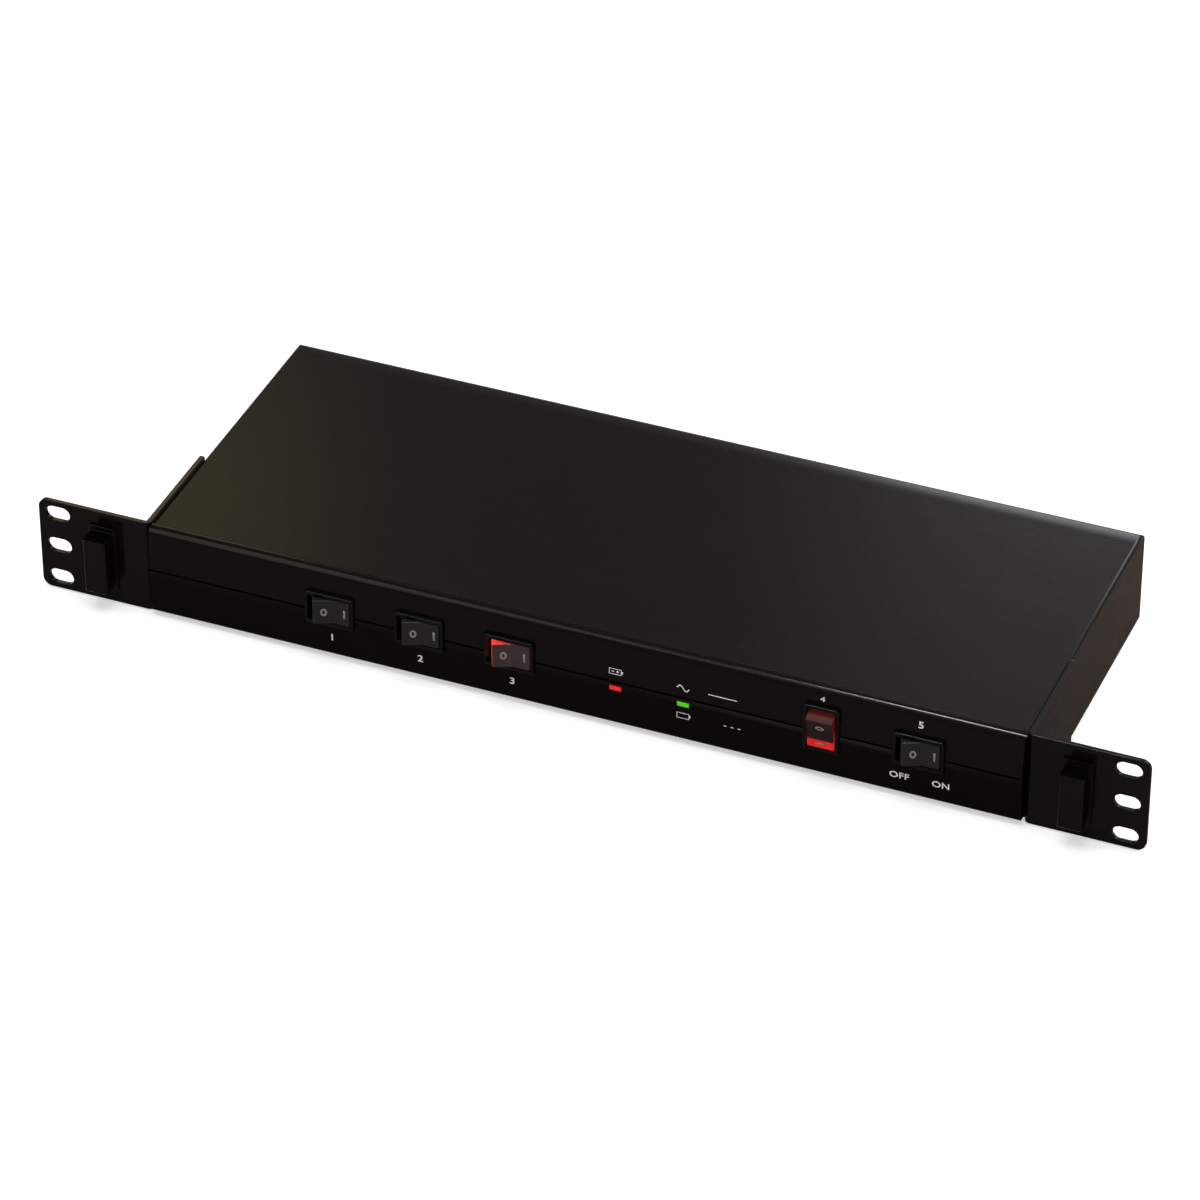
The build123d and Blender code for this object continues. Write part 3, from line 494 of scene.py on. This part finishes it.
def refined(nodeName, material, width):
    # A merged copy of a CAD node, smooth round its curves and with a small radius on its sharp edges
    source = nodes[nodeName]
    form = bmesh.new()
    form.from_mesh(source.data)
    bmesh.ops.remove_doubles(form, verts=form.verts[:], dist=refining["mergeGap"])
    bmesh.ops.dissolve_limit(
        form, angle_limit=refining["flatTurn"], verts=form.verts[:], edges=form.edges[:], delimit={"NORMAL"},
    )
    mesh = meshFrom(f"{nodeName}Mesh", form, refining["smoothTurn"])
    piece = addPiece(f"{nodeName}.dressed", mesh, material, source["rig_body"])
    rim = piece.modifiers.new("rim", "BEVEL")
    rim.width = width
    rim.segments = refining["rimSteps"]
    rim.limit_method = "ANGLE"
    rim.angle_limit = refining["rimTurn"]
    settle = piece.modifiers.new("settle", "WEIGHTED_NORMAL")
    settle.keep_sharp = True
    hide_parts(nodeName)
    return piece


# Node, its finish, its slot, and the radius on its sharp edges
coated = {
    "top_cover": ("sheetCoat", "black_sheet", 0.00012),
    "chassis_tray": ("trayCoat", "black_sheet", 0.00012),
    "rear_panel": ("sheetCoat", "black_sheet", 0.00012),
    "front_bezel": ("bezelGloss", "bezel_gloss", 0.00015),
    "left_bracket": ("earCoat", "ear_coat", 0.00018),
    "right_bracket": ("earCoat", "ear_coat", 0.00018),
    "left_handle": ("handleBlack", "handle_black", 0.00025),
    "right_handle": ("handleBlack", "handle_black", 0.00025),
    "power_inlet": ("socketBlack", "socket_black", 0.0003),
    "power_outlet_1": ("socketBlack", "socket_black", 0.0003),
    "power_outlet_2": ("socketBlack", "socket_black", 0.0003),
    "power_outlet_3": ("socketBlack", "socket_black", 0.0003),
    "breaker_button": ("buttonBlack", "button_black", 0.0002),
}
rockerPlaces = {1: -0.1082, 2: -0.0684, 3: -0.0286, 4: 0.106, 5: 0.147}
for i in rockerPlaces:
    coated[f"switch_{i}_housing"] = ("frameBlack", "switch_frame", 0.00015)

# Faces that take a second finish: painted sheen on the side walls, painted shade in the groove and on the
# handles' tops
secondCoat = {
    "wallNodes": ("top_cover", "chassis_tray", "left_bracket", "right_bracket"), "wallTurn": 0.97,
    "grooveLow": 0.00035, "grooveHigh": 0.00135, "grooveFront": -0.00449,
    "handleNodes": ("left_handle", "right_handle"), "topTurn": 0.5,
}


def inGroove(face):
    low, high = secondCoat["grooveLow"], secondCoat["grooveHigh"]
    return low < face.center.z < high and face.center.y > secondCoat["grooveFront"]


def recoat(piece, finishName, chosen):
    piece.data.materials.append(surfaces[finishName])
    for face in piece.data.polygons:
        if chosen(face):
            face.material_index = 1


for nodeName, (finishName, slotName, width) in coated.items():
    piece = refined(nodeName, surfaces[finishName], width)
    if nodeName in secondCoat["wallNodes"]:
        recoat(piece, "wallPaintedSheen", lambda face: abs(face.normal.x) > secondCoat["wallTurn"])
    elif nodeName in secondCoat["handleNodes"]:
        recoat(piece, "shadeBlack", lambda face: face.normal.z > secondCoat["topTurn"])
    elif nodeName == "front_bezel":
        recoat(piece, "shadeBlack", inGroove)
print("shells dressed")


# Rockers keep their CAD form with a small radius, the third and fourth are red and lit
rockerForm = {
    "upright": 4, "pivotY": -0.00024222, "pivotZ": 0.0026, "tilt": math.radians(12.5),
    "foldRise": 0.0060, "endRise": 0.0075, "endReach": 0.0076, "edgeRadius": 0.0002,
}
rockerLights = {
    3: {
        "towards": (-1, 0, 0), "sideReach": (-0.004, 0.0060), "haze": 0.16, "strength": 1.15,
        "skin": {"colour": (0.048, 0.028, 0.027), "lit": (1.0, 0.030, 0.004), "dim": (0.45, 0.008, 0.004)},
    },
    4: {
        "towards": (0, 0, -1), "sideReach": (-0.002, 0.0050), "haze": 0.12, "strength": 0.70,
        "faceReach": (0.0048, 0.0054, 0.0088, 0.0100),
        "skin": {
            "colour": (0.027, 0.0155, 0.0145), "specular": 0.004, "lit": (1.0, 0.020, 0.018),
            "dim": (0.45, 0.008, 0.006),
        },
    },
}
for i, x in rockerPlaces.items():
    skin, slotName = surfaces["rockerGrey"], "rocker_grey"
    if i in rockerLights:
        skin = litRocker(f"rockerRed{i}", (x, 0, rockerForm["pivotZ"]), rockerLights[i])
        slotName = "rocker_red"
    refined(f"switch_{i}_rocker", skin, rockerForm["edgeRadius"])
print("rockers dressed")


# The remaining CAD nodes keep their own mesh and get a better material
plainNodes = {
    "switch_blades": "tabBrass", "fault_lamp": "lampRed", "status_lamp": "lampGreen",
    "lamp_board": "boardGreen", "inlet_pins": "tabBrass", "breaker_body": "nutSteel",
    "front_battery": "batteryCase", "rear_battery": "batteryCase", "battery_pads": "padRubber",
    "battery_tabs": "tabBrass", "battery_foam": "foamGrey", "main_board": "boardGreen",
    "board_standoffs": "postMetal", "insulation_sheet": "filmClear", "transformer_core": "coreSteel",
    "transformer_winding": "coilTape", "heat_sink": "sinkMetal", "power_transistors": "chipBlack",
    "relays": "relayBlue", "capacitors": "canSleeve", "fuse_clips": "clipSteel",
    "glass_fuse": "fuseGlass", "terminal_block": "blockGreen", "buzzer": "chipBlack",
    "choke": "chokeWire",
}
for nodeName, finishName in plainNodes.items():
    mesh = nodes[nodeName].data
    mesh.materials.clear()
    mesh.materials.append(surfaces[finishName])
print("inner nodes coloured")


# Print: thin raised ink on the bezel and on the rockers

inkRise = 0.00004
inkSink = 0.4  # share of the ink's height that lies under the surface


def inkMesh(curve):
    # Turns a text or a stroke into a mesh, and removes the curve it came from
    holder = bpy.data.objects.new("holder", curve)
    bpy.context.scene.collection.objects.link(holder)
    bpy.context.view_layer.update()
    solid = holder.evaluated_get(bpy.context.evaluated_depsgraph_get())
    mesh = bpy.data.meshes.new_from_object(solid)
    bpy.data.objects.remove(holder)
    return mesh


lettering = {"height": 0.0032, "boldness": 0.016, "widen": 1.18, "spacing": 1.06, "thickness": 0.04}


def wordMesh(words, **own):
    look = {**lettering, **own}
    curve = bpy.data.curves.new("words", "FONT")
    curve.body = words
    curve.size = 1.0
    curve.offset = look["boldness"]
    curve.extrude = look["thickness"] / 2
    curve.space_character = look["spacing"]
    curve.align_x = "CENTER"
    mesh = inkMesh(curve)
    xs = [v.co.x for v in mesh.vertices]
    ys = [v.co.y for v in mesh.vertices]
    tall = look["height"] / (max(ys) - min(ys))
    wide = tall * look["widen"]
    deep = inkRise / look["thickness"]
    centre = Vector(((max(xs) + min(xs)) / 2, (max(ys) + min(ys)) / 2, 0))
    mesh.transform(Matrix.Diagonal((wide, tall, deep, 1)) @ Matrix.Translation(-centre))
    return mesh


def strokeMesh(points, width, closed=False):
    # A drawn line of even width, with round ends, flattened to the height of ink
    curve = bpy.data.curves.new("stroke", "CURVE")
    curve.dimensions = "3D"
    spline = curve.splines.new("POLY")
    spline.points.add(len(points) - 1)
    for point, (x, y) in zip(spline.points, points):
        point.co = (x, y, 0, 1)
    spline.use_cyclic_u = closed
    curve.bevel_depth = width / 2
    curve.bevel_resolution = 3
    curve.use_fill_caps = True
    mesh = inkMesh(curve)
    mesh.transform(Matrix.Diagonal((1, 1, 2 * inkRise / width, 1)))
    return mesh


def joined(name, meshes):
    form = bmesh.new()
    for mesh in meshes:
        form.from_mesh(mesh)
        bpy.data.meshes.remove(mesh)
    bmesh.ops.remove_doubles(form, verts=form.verts[:], dist=1e-7)
    bmesh.ops.recalc_face_normals(form, faces=form.faces[:])
    return meshFrom(name, form)


bezel = {"grooveTop": 0.0013, "shoulder": 0.0174, "topFace": -0.0037, "midFace": -0.0047, "lowFace": -0.0045}


def onBezel(x, z):
    # Stands a flat drawing up on the bezel's face, which leans back a little above the groove
    y, lean = bezel["lowFace"], 0.0
    if z > bezel["grooveTop"]:
        tall = bezel["shoulder"] - bezel["grooveTop"]
        deep = bezel["topFace"] - bezel["midFace"]
        y = bezel["midFace"] + deep * (z - bezel["grooveTop"]) / tall
        lean = math.atan2(deep, tall)
    place = Matrix.Translation((x, y - inkRise * inkSink, z))
    return place @ Matrix.Rotation(math.pi / 2 - lean, 4, "X")


# Signs are drawn in shares of their own length, the line and the dashes in metres from the sign
signs = {
    "length": 0.0052, "halfTall": 0.24, "caseLine": 0.075,
    "knobLine": 0.1, "knobGap": 0.08, "knobShare": 0.45,
    "poleInner": 0.08, "poleOuter": 0.3, "plusAt": 0.19, "plusReach": 0.11,
    "waveLine": 0.085, "waveSteps": 24,
    "thinLine": 0.00042, "lineStart": 0.0108, "lineEnd": 0.0231,
    "dashStart": 0.0176, "dashStep": 0.0030, "dashLength": 0.0012,
}


def batterySign():
    size = signs["length"]
    half, tall = size / 2, size * signs["halfTall"]
    body = [(-half, -tall), (half, -tall), (half, tall), (-half, tall)]
    knobX, knobY = half + size * signs["knobGap"], tall * signs["knobShare"]
    knob = strokeMesh([(knobX, -knobY), (knobX, knobY)], size * signs["knobLine"])
    return [strokeMesh(body, size * signs["caseLine"], True), knob]


def thinStroke(x0, y0, x1, y1):
    return strokeMesh([(x0, y0), (x1, y1)], signs["thinLine"])


def faultSign():
    # A battery with a minus and a plus in it
    size = signs["length"]
    inner, outer = size * signs["poleInner"], size * signs["poleOuter"]
    plusX, plusY = size * signs["plusAt"], size * signs["plusReach"]
    minus = thinStroke(-outer, 0, -inner, 0)
    plus = [thinStroke(inner, 0, outer, 0), thinStroke(plusX, -plusY, plusX, plusY)]
    return batterySign() + [minus] + plus


def mainsSign():
    # A sine wave, and the plain line to the right of it
    size, steps = signs["length"], signs["waveSteps"]
    tall = size * signs["halfTall"]
    shares = [i / steps for i in range(steps + 1)]
    points = [(size * (share - 0.5), tall * math.sin(2 * math.pi * share)) for share in shares]
    wave = strokeMesh(points, size * signs["waveLine"])
    return [wave, thinStroke(signs["lineStart"], 0, signs["lineEnd"], 0)]


def reserveSign():
    # An empty battery, and three dashes to the right of it
    starts = [signs["dashStart"] + i * signs["dashStep"] for i in range(3)]
    return batterySign() + [thinStroke(x, 0, x + signs["dashLength"], 0) for x in starts]


def printOn(name, x, z, meshes):
    mesh = joined(name, meshes)
    mesh.transform(onBezel(x, z))
    addPiece(name, mesh, surfaces["printWhite"], "chassis")


numbers = {
    1: {"x": -0.1077, "z": -0.0112, "own": {}},
    2: {"x": -0.0683, "z": -0.0112, "own": {}},
    3: {"x": -0.0277, "z": -0.0112, "own": {}},
    4: {"x": 0.1058, "z": 0.0163, "own": {"height": 0.0024, "boldness": 0.0, "widen": 1.3}},
    5: {"x": 0.1472, "z": 0.0152, "own": {}},
}
for i, number in numbers.items():
    printOn(f"print_{i}", number["x"], number["z"], [wordMesh(str(i), **number["own"])])
switchWords = {"height": 0.0029, "z": -0.0115, "offX": 0.1391, "onX": 0.1565}
for word, name in (("OFF", "off"), ("ON", "on")):
    letters = wordMesh(word, height=switchWords["height"])
    printOn(f"print_{name}", switchWords[f"{name}X"], switchWords["z"], [letters])
lampSigns = {"faultX": 0.0174, "faultZ": 0.0058, "statusX": 0.0467, "mainsZ": 0.0056, "reserveZ": -0.0080}
printOn("print_fault", lampSigns["faultX"], lampSigns["faultZ"], faultSign())
printOn("print_mains", lampSigns["statusX"], lampSigns["mainsZ"], mainsSign())
printOn("print_battery", lampSigns["statusX"], lampSigns["reserveZ"], reserveSign())
print("bezel printed")

markForm = {
    "zeroFromFold": 0.0032, "zeroWidth": 0.0028, "zeroHeight": 0.0037, "ringSteps": 32,
    "oneFromFold": 0.0056, "oneHeight": 0.0040, "stroke": 0.00082,
}


def onFacet(x, side, fromFold, upright):
    # Lays a flat drawing on one facet of a rocker at rest
    slope = math.atan2(rockerForm["endRise"] - rockerForm["foldRise"], rockerForm["endReach"])
    along = side * fromFold * math.cos(slope)
    rise = rockerForm["foldRise"] + fromFold * math.sin(slope) + inkRise * inkSink
    facet = Matrix.Rotation(-side * slope, 4, "Z") @ Matrix.Rotation(math.pi / 2, 4, "X")
    turned = Matrix.Rotation(rockerForm["tilt"], 4, "Z") @ Matrix.Translation((along, -rise, 0)) @ facet
    standing = Matrix.Rotation(math.pi / 2 if upright else 0, 4, "Y")
    pivot = Matrix.Translation((x, 0, rockerForm["pivotZ"])) @ standing
    return pivot @ Matrix.Translation((0, rockerForm["pivotY"], 0)) @ turned


def ringMesh():
    wide = (markForm["zeroWidth"] - markForm["stroke"]) / 2
    tall = (markForm["zeroHeight"] - markForm["stroke"]) / 2
    turns = [2 * math.pi * i / markForm["ringSteps"] for i in range(markForm["ringSteps"])]
    points = [(wide * math.cos(turn), tall * math.sin(turn)) for turn in turns]
    return strokeMesh(points, markForm["stroke"], True)


for i, x in rockerPlaces.items():
    upright = i == rockerForm["upright"]
    zero = ringMesh()
    zero.transform(onFacet(x, -1, markForm["zeroFromFold"], upright))
    half = markForm["oneHeight"] / 2
    one = strokeMesh([(0, -half), (0, half)], markForm["stroke"])
    one.transform(onFacet(x, 1, markForm["oneFromFold"], upright))
    ink = surfaces["markPink" if i in rockerLights else "markGrey"]
    addPiece(f"mark_{i}", joined(f"mark_{i}", [zero, one]), ink, f"rocker_{i}")
print("rockers marked")


# Screws: pan heads with a cross recess, which hold the rear panel

screw = {
    "radius": 0.0028, "rise": 0.0017, "crossWidth": 0.0009, "crossLength": 0.0036, "crossDepth": 0.0011,
    "dome": ((0.0, 1.0), (0.35, 0.96), (0.68, 0.80), (0.90, 0.52), (1.0, 0.20), (1.0, -0.25)),
    "spinSteps": 28, "smoothTurn": math.radians(40), "alongX": (-0.183, -0.030, 0.0125, 0.1865), "z": -0.0155,
}


def screwHead():
    # The dome's outline, in shares of radius and rise, is spun round and closed underneath
    form = bmesh.new()
    profile = [(share * screw["radius"], level * screw["rise"]) for share, level in screw["dome"]]
    outline = [form.verts.new((x, 0, z)) for x, z in profile]
    for first, second in zip(outline, outline[1:]):
        form.edges.new((first, second))
    bmesh.ops.spin(
        form, geom=form.verts[:] + form.edges[:], cent=(0, 0, 0), axis=(0, 0, 1), angle=2 * math.pi,
        steps=screw["spinSteps"], use_merge=True, use_duplicate=False,
    )
    bmesh.ops.remove_doubles(form, verts=form.verts[:], dist=1e-7)
    bottom = [edge for edge in form.edges if len(edge.link_faces) == 1]
    bmesh.ops.holes_fill(form, edges=bottom, sides=0)
    bmesh.ops.recalc_face_normals(form, faces=form.faces[:])
    return meshFrom("screwHead", form, screw["smoothTurn"])


def crossCutter():
    form = bmesh.new()
    for turn in (0, math.pi / 2):
        made = bmesh.ops.create_cube(form, size=1.0)
        size = Matrix.Diagonal((screw["crossLength"], screw["crossWidth"], 2 * screw["crossDepth"], 1))
        place = Matrix.Translation((0, 0, screw["rise"])) @ Matrix.Rotation(turn, 4, "Z") @ size
        bmesh.ops.transform(form, matrix=place, verts=made["verts"])
    return meshFrom("crossCutter", form)


def crossedHead():
    head = bpy.data.objects.new("head", screwHead())
    cutter = bpy.data.objects.new("cutter", crossCutter())
    for thing in (head, cutter):
        bpy.context.scene.collection.objects.link(thing)
    cut = head.modifiers.new("cross", "BOOLEAN")
    cut.object = cutter
    cut.solver = "EXACT"
    cut.use_self = True
    bpy.context.view_layer.update()
    solid = head.evaluated_get(bpy.context.evaluated_depsgraph_get())
    mesh = bpy.data.meshes.new_from_object(solid)
    bpy.data.objects.remove(head)
    bpy.data.objects.remove(cutter)
    return mesh


screwMesh = crossedHead()
rearOut = Matrix.Rotation(-math.pi / 2, 4, "X")
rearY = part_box("rear_panel")[1].y
seeded = random.Random(7)
for count, x in enumerate(screw["alongX"], 1):
    place = Matrix.Translation((x, rearY, screw["z"])) @ rearOut
    head = screwMesh.copy()
    head.transform(place @ Matrix.Rotation(seeded.uniform(0, math.pi / 2), 4, "Z"))
    addPiece(f"screw_rear_{count}", head, surfaces["screwSteel"], "chassis")
print("screws set:", len(screw["alongX"]))


# Studio: pale floor, soft lights, and the camera at the photograph's angle

floorLook = {
    "colour": (0.80, 0.80, 0.80), "lift": 0.50, "size": 14.0, "gap": 0.0004, "tiles": 8,
    "cloudSize": 0.4, "cloudDetail": 3.0, "cloudTint": 0.01, "roughness": 0.9, "gloss": 0.1,
}
worldLook = {"lit": 0.45, "seen": 1.0}


def seenRays(tree):
    # 1 for rays from the camera, from gloss and through glass
    path = tree.nodes.new("ShaderNodeLightPath")
    first = combine(tree, path.outputs["Is Camera Ray"], path.outputs["Is Glossy Ray"], "MAXIMUM")
    return combine(tree, first, path.outputs["Is Transmission Ray"], "MAXIMUM")


def studioFloor():
    form = bmesh.new()
    tiles = floorLook["tiles"]
    bmesh.ops.create_grid(form, x_segments=tiles, y_segments=tiles, size=floorLook["size"] / 2)
    mesh = meshFrom("floorMesh", form)
    mesh.transform(Matrix.Translation((0, 0, cadBox[0].z - floorLook["gap"])))
    floor = bpy.data.objects.new("floor", mesh)
    bpy.context.scene.collection.objects.link(floor)
    material = bpy.data.materials.new("floorPaint")
    material.use_nodes = True
    tree = material.node_tree
    shader = tree.nodes["Principled BSDF"]
    place = addNode(tree, "ShaderNodeTexCoord").outputs["Object"]
    cloud = noise(tree, place, floorLook["cloudSize"], floorLook["cloudDetail"])
    darker = tinted(floorLook["colour"], -floorLook["cloudTint"])
    colour = mix(tree, cloud, darker, tinted(floorLook["colour"], floorLook["cloudTint"]))
    tree.links.new(colour, shader.inputs["Base Color"])
    shader.inputs["Roughness"].default_value = floorLook["roughness"]
    shader.inputs["Specular IOR Level"].default_value = floorLook["gloss"]
    shader.inputs["Emission Color"].default_value = (1, 1, 1, 1)
    tree.links.new(combine(tree, seenRays(tree), floorLook["lift"]), shader.inputs["Emission Strength"])
    mesh.materials.append(material)


def studioWorld():
    world = bpy.data.worlds.new("studio")
    bpy.context.scene.world = world
    world.use_nodes = True
    tree = world.node_tree
    background = tree.nodes["Background"]
    background.inputs["Color"].default_value = (1, 1, 1, 1)
    levels = {"To Min": worldLook["lit"], "To Max": worldLook["seen"]}
    strength = addNode(tree, "ShaderNodeMapRange", levels, {"Value": seenRays(tree)})
    tree.links.new(strength.outputs["Result"], background.inputs["Strength"])


def softLight(name, place, aim, size, power, colour=(1, 1, 1)):
    data = bpy.data.lights.new(name, "AREA")
    data.shape = "RECTANGLE"
    data.size, data.size_y = size
    data.energy = power
    data.color = colour
    lamp = bpy.data.objects.new(name, data)
    lamp.location = place
    lamp.rotation_euler = (Vector(aim) - Vector(place)).to_track_quat("-Z", "Y").to_euler()
    bpy.context.scene.collection.objects.link(lamp)
    return lamp


def glossLight(*facts):
    # Only shows as sheen on the coated sheet and on the rounded edges
    lamp = softLight(*facts)
    lamp.visible_diffuse = False


studioFloor()
studioWorld()
softLight("keyLight", (1.0, 1.55, 1.10), (0, 0.07, 0), (1.0, 0.8), 24)
softLight("overheadLight", (-0.2, -0.3, 2.2), (0, 0.05, 0), (1.4, 1.4), 22)
glossLight("warmSheen", (-0.505, 0.60, 0.487), (-0.26, 0, 0.02), (0.16, 0.16), 0.50, (1.0, 0.86, 0.40))
glossLight("coolSheen", (-0.025, 0.76, 0.487), (0.22, 0.16, 0.02), (0.25, 0.25), 0.40, (1.0, 0.95, 0.92))
glossLight("rearGlow", (-0.05, 1.10, 0.35), (0.19, 0.147, 0.02), (0.30, 0.30), 4.4, (0.86, 0.93, 1.0))
glossLight("rollLine", (-0.05, 0.05, 1.00), (0.17, 0, 0.02), (0.20, 0.20), 36.0, (0.80, 1.0, 1.0))
glossLight("rollBand", (-0.60, -0.65, 0.85), (-0.19, 0, 0.02), (0.5, 1.2), 24.0, (0.88, 1.0, 0.84))

viewFit = {
    "azimuth": math.radians(22.13), "elevation": math.radians(35.65), "distance": 2.393, "across": -0.0083,
    "up": -0.0273, "lens": 177.8,
}


def photoCamera():
    az, el = viewFit["azimuth"], viewFit["elevation"]
    back = Vector((math.sin(az) * math.cos(el), -math.cos(az) * math.cos(el), math.sin(el)))
    right = Vector((math.cos(az), math.sin(az), 0))
    up = back.cross(right)
    data = bpy.data.cameras.new("photoCamera")
    data.sensor_width = 36
    data.sensor_fit = "HORIZONTAL"
    data.lens = viewFit["lens"]
    data.clip_start, data.clip_end = 0.1, 60
    camera = bpy.data.objects.new("photoCamera", data)
    camera.location = back * viewFit["distance"] - right * viewFit["across"] - up * viewFit["up"]
    camera.rotation_euler = Matrix((right, up, back)).transposed().to_euler()
    bpy.context.scene.collection.objects.link(camera)
    bpy.context.scene.camera = camera


photoCamera()
bpy.context.scene.view_settings.view_transform = "Standard"
print("studio ready")
